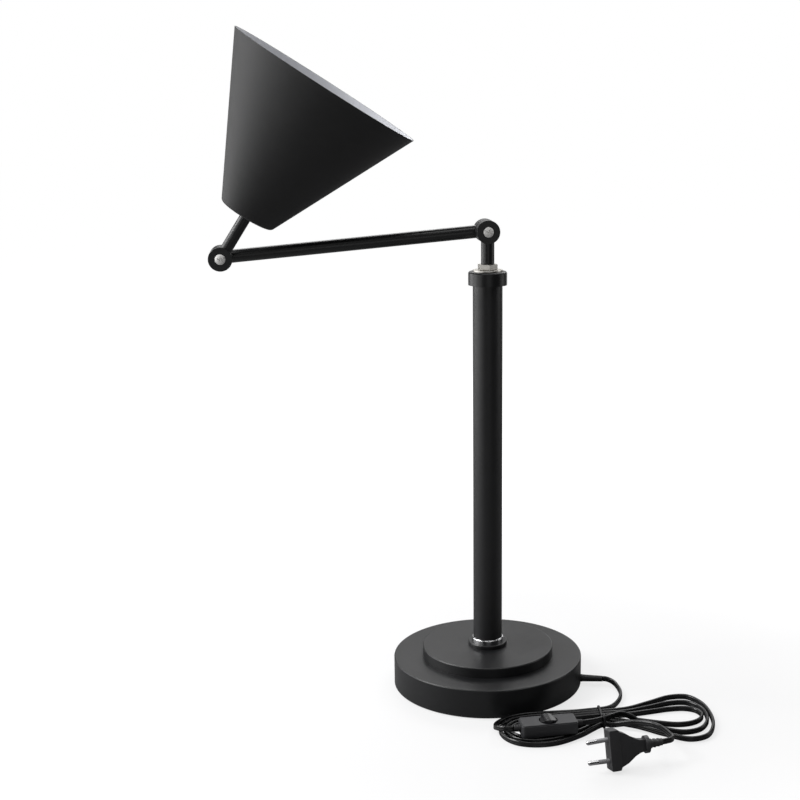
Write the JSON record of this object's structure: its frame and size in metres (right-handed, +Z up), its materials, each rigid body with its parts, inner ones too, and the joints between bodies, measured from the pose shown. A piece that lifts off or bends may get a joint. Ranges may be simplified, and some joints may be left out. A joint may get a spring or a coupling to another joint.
{
  "type": "desk_lamp",
  "caption": "Single-arm desk lamp with a stepped round base, upright column, swivelling hinged arm and a cone shade, with a flat lead carrying a rocker switch and a two-pin plug.",
  "frame": {"origin": "Centre of the base's underside, on the surface that the lamp stands on.", "axes": "+Z up along the column, -X towards the lower hinge of the arm at rest, -Y towards the viewer of the hinge screws."},
  "size_m": [0.4531, 0.3101, 0.6304],
  "materials": {
    "pad_rubber": "matt black foam rubber",
    "zinc_steel": "zinc-plated steel",
    "cast_weight": "raw grey casting",
    "black_paint": "satin black powder coat",
    "shade_paint": "matt black outside, white inside",
    "bright_chrome": "polished chrome plate",
    "brass_tube": "machined brass",
    "black_column": "satin black powder coat",
    "dark_steel": "blackened steel",
    "nickel_trim": "satin nickel plate",
    "black_rubber": "moulded soft plastic, matt",
    "lead_white": "white inner sheath",
    "cord_black": "smooth extruded sheath, satin",
    "tie_plastic": "thin black plastic-covered wire",
    "switch_plastic": "fine moulded texture",
    "rocker_plastic": "polished moulding",
    "plug_plastic": "fine moulded texture",
    "sleeve_plastic": "grey insulating sleeve",
    "nickel_pins": "nickel-plated brass",
    "washer_plastic": "dark friction washer",
    "holder_plastic": "white moulded",
    "bulb_metal": "threaded cap",
    "bulb_glass_white": "opal coated"
  },
  "bodies": {
    "stand": {"foot_pad": "pad_rubber", "base_plate": "zinc_steel", "plate_screws": "zinc_steel", "base_weight": "cast_weight", "base_shell": "black_paint", "step_disc": "black_paint", "column_flange": "black_paint", "column_ring": "bright_chrome", "base_nipple": "brass_tube", "base_washer": "zinc_steel", "base_nut": "zinc_steel", "column_foot": "zinc_steel", "column_tube": "black_column", "collar": "black_paint", "collar_set_screw": "dark_steel", "top_washer": "nickel_trim", "cord_gland": "black_rubber", "column_lead": "lead_white", "cord_lead": "cord_black", "cord_link": "cord_black", "cord_hank": "cord_black", "cord_plug_lead": "cord_black", "cord_tie": "tie_plastic", "switch_base": "switch_plastic", "switch_cover": "switch_plastic", "switch_reliefs": "black_rubber", "switch_screws": "zinc_steel", "switch_pivot": "brass_tube", "plug_body": "plug_plastic", "plug_relief": "plug_plastic", "plug_sleeves": "sleeve_plastic", "plug_pins": "nickel_pins"},
    "swivel": {"swivel_spindle": "brass_tube", "retaining_nut": "zinc_steel", "wave_washer": "zinc_steel", "swivel_nut": "nickel_trim", "stem_tube": "black_paint", "stem_knuckle": "black_paint", "upper_friction_washer": "washer_plastic", "upper_hinge_screw": "nickel_trim", "upper_hinge_nut": "nickel_trim", "stem_lead": "lead_white"},
    "arm": {"arm_knuckle_upper": "black_paint", "arm_tube": "black_paint", "arm_knuckle_lower": "black_paint", "arm_lead": "lead_white"},
    "head": {"rod_knuckle": "black_paint", "lower_friction_washer": "washer_plastic", "lower_hinge_screw": "nickel_trim", "lower_hinge_nut": "nickel_trim", "head_rod": "black_paint", "head_lead": "lead_white", "shade_shell": "shade_paint", "shade_lock_nut": "zinc_steel", "lampholder_body": "holder_plastic", "lampholder_ring": "holder_plastic", "bulb_cap": "bulb_metal", "bulb_glass": "bulb_glass_white"},
    "rocker": {"switch_rocker": "rocker_plastic"}
  },
  "joints": [
    {"name": "column_swivel", "type": "hinge", "parent": "stand", "child": "swivel", "pos_m": [0, 0, 0.4096], "axis": [0, 0, 1], "range_deg": [-170, 170]},
    {"name": "upper_hinge", "type": "hinge", "parent": "swivel", "child": "arm", "pos_m": [0, 0, 0.4465], "axis": [0, 1, 0], "range_deg": [-30, 75]},
    {"name": "lower_hinge", "type": "hinge", "parent": "arm", "child": "head", "pos_m": [-0.24656, 0, 0.42493], "axis": [0, 1, 0], "range_deg": [-212, 12]},
    {"name": "switch_rock", "type": "hinge", "parent": "stand", "child": "rocker", "pos_m": [0.03554, -0.1362, 0.0118], "axis": [-0.0523, 0.9986, 0], "range_deg": [-5, 5]}
  ]
}
